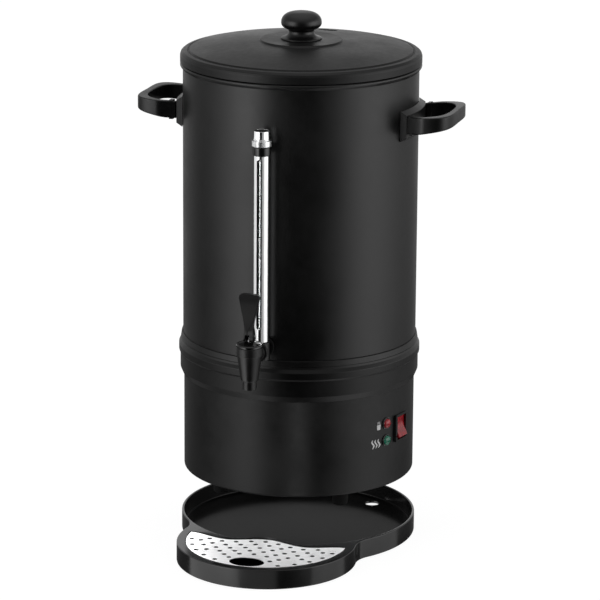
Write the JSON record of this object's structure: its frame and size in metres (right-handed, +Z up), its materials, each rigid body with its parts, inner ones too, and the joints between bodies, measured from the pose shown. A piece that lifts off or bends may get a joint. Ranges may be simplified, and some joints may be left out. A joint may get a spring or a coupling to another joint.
{
  "type": "coffee percolator urn",
  "caption": "Tall round heated urn with a lid, loop handles, sight gauge, lever tap, lit switch and pilot lamps, above a loose drip tray with a perforated grid.",
  "frame": {"origin": "on the urn's vertical axis, at the underside of the drip tray", "axes": "+Z up; -Y is the front, where the tap, the sight gauge and the tray's lobe are; the loop handles are on +X and -X"},
  "size_m": [0.36, 0.3541, 0.5934],
  "materials": {
    "satin_black": "satin black coating with a very fine texture",
    "moulded_black": "black moulded plastic, low sheen",
    "gloss_black": "black moulded plastic, polished",
    "chrome": "bright chrome plate",
    "steel": "stainless steel, fine brushed or plain rolled",
    "zinc": "zinc-plated steel, dull",
    "rubber": "black rubber, matte",
    "silicone": "translucent grey silicone, matte",
    "brass": "plain brass",
    "ceramic": "off-white steatite and mica, matte",
    "glass": "clear gauge glass",
    "red_lens": "translucent red lamp plastic, glossy",
    "green_lens": "translucent green lamp plastic, glossy"
  },
  "bodies": {
    "tray": {"drip_tray": "moulded_black"},
    "grid": {"drip_grid": "steel"},
    "urn": {"base_shell": "satin_black", "base_plate": "zinc", "base_screw_1": "zinc", "base_screw_2": "zinc", "base_screw_3": "zinc", "foot_1": "rubber", "foot_2": "rubber", "foot_3": "rubber", "foot_4": "rubber", "joint_ring": "satin_black", "tank_shell": "satin_black", "main_heater": "steel", "keep_warm_heater": "ceramic", "thermostat": "zinc", "thermal_cutout": "ceramic", "terminal_block": "ceramic", "power_inlet": "moulded_black", "inlet_pin_1": "brass", "inlet_pin_2": "brass", "inlet_pin_3": "brass", "right_handle": "moulded_black", "left_handle": "moulded_black", "handle_screw_1": "steel", "handle_screw_2": "steel", "handle_screw_3": "steel", "handle_screw_4": "steel", "gauge_guard_tube": "chrome", "gauge_glass": "glass", "gauge_collar": "moulded_black", "gauge_cap": "chrome", "gauge_block": "moulded_black", "tap_body": "moulded_black", "tap_nut": "steel", "tap_seal": "rubber", "tap_bonnet": "gloss_black", "tap_spring": "steel", "switch_housing": "moulded_black", "red_lamp_bezel": "moulded_black", "red_lamp_lens": "red_lens", "green_lamp_bezel": "moulded_black", "green_lamp_lens": "green_lens"},
    "lid": {"lid": "satin_black", "lid_knob": "moulded_black", "knob_screw": "steel"},
    "brew_insert": {"pump_foot": "steel", "perk_tube": "steel", "filter_basket": "steel", "basket_lid": "steel"},
    "valve": {"tap_seat_cup": "silicone", "tap_stem": "steel"},
    "lever": {"tap_lever": "moulded_black", "tap_lever_pin": "steel"},
    "rocker": {"switch_rocker": "red_lens"}
  },
  "joints": [
    {"name": "urn_lift", "type": "slide", "parent": "tray", "child": "urn", "axis": [0, 0, 1], "range_m": [-0.0525, 0.05]},
    {"name": "grid_lift", "type": "slide", "parent": "tray", "child": "grid", "axis": [0, 0, 1], "range_m": [0, 0.04]},
    {"name": "lid_lift", "type": "slide", "parent": "urn", "child": "lid", "axis": [0, 0, 1], "range_m": [0, 0.3]},
    {"name": "brew_lift", "type": "slide", "parent": "urn", "child": "brew_insert", "axis": [0, 0, 1], "range_m": [0, 0.18]},
    {"name": "tap_stem_lift", "type": "slide", "parent": "urn", "child": "valve", "axis": [0, 0, 1], "range_m": [0, 0.004], "deforming": ["tap_spring"]},
    {"name": "tap_lever_turn", "type": "hinge", "parent": "valve", "child": "lever", "pos_m": [0, -0.185, 0.2738], "axis": [1, 0, 0], "range_deg": [0, 60], "stiffness_Nm_per_rad": 0.4},
    {"name": "rocker_tilt", "type": "hinge", "parent": "urn", "child": "rocker", "pos_m": [0.12228, -0.02823, 0.139], "axis": [0.225, 0.9744, 0], "range_deg": [0, 24]}
  ],
  "couplings": [
    {"joint": "brew_lift", "follows": "lid_lift", "ratio": 0.6},
    {"joint": "tap_stem_lift", "follows": "tap_lever_turn", "m_per_rad": 0.0038}
  ]
}
